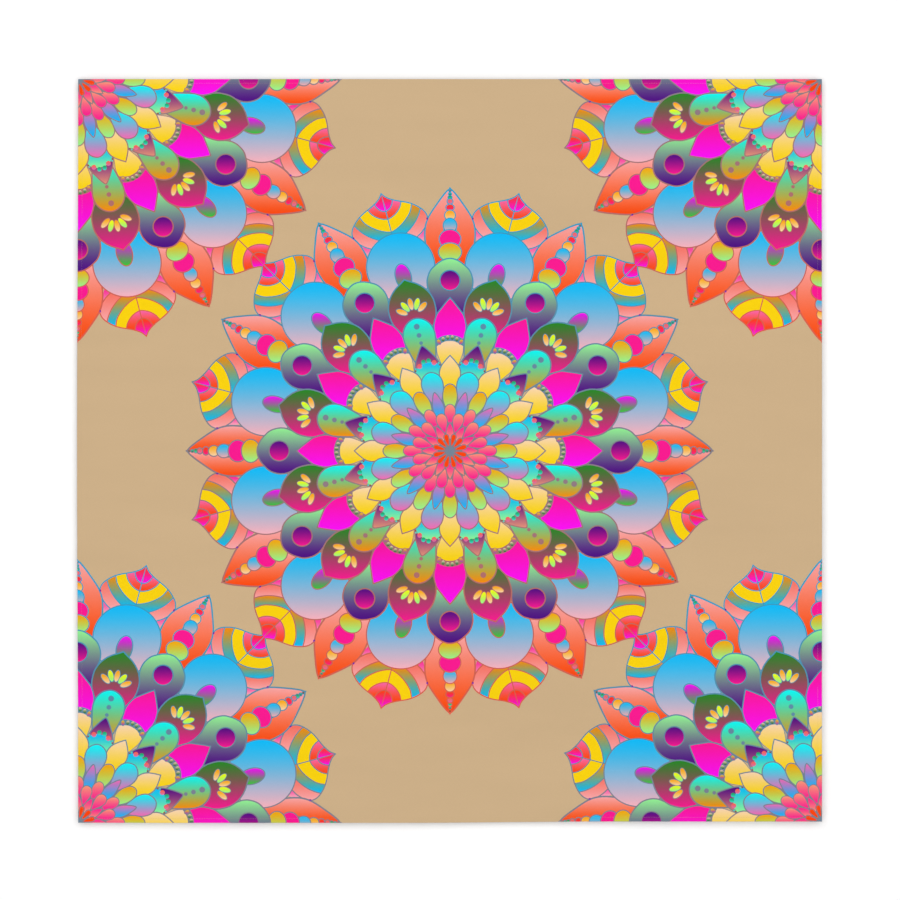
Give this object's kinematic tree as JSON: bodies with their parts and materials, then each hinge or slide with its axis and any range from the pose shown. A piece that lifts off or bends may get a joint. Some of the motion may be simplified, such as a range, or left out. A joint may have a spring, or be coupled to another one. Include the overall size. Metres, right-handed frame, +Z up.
{
  "type": "tapestry wall hanging",
  "caption": "Square printed cloth with repeating round petal ornaments and sewn double-turned hems, hung flat on a wall by its top edge.",
  "frame": {"origin": "middle of the top edge, on the plane of the hems' backs, which lies against the wall", "axes": "+Z up, +Y into the wall, -Y out of the printed face, +X to the right as the face is seen"},
  "size_m": [1.4, 0.0017, 1.4],
  "materials": {
    "printed_cloth": "matte, fine plain weave, many-coloured print on a tan ground",
    "hem_cloth": "matte, the same cloth turned to the back, tan print outwards",
    "sewing_thread": "matte spun polyester, tan"
  },
  "bodies": {
    "header": {"header_band": "printed_cloth", "top_hem": "hem_cloth", "top_needle_thread": "sewing_thread", "top_bobbin_thread": "sewing_thread"},
    "drop": {"printed_panel": "printed_cloth", "bottom_hem": "hem_cloth", "left_hem": "hem_cloth", "right_hem": "hem_cloth", "bottom_needle_thread": "sewing_thread", "left_needle_thread": "sewing_thread", "right_needle_thread": "sewing_thread", "bottom_bobbin_thread": "sewing_thread", "left_bobbin_thread": "sewing_thread", "right_bobbin_thread": "sewing_thread"}
  },
  "joints": [
    {"name": "bend_below_top_hem", "type": "hinge", "parent": "header", "child": "drop", "pos_m": [0, -0.0016, -0.0101], "axis": [-1, 0, 0], "range_deg": [0, 90]}
  ]
}
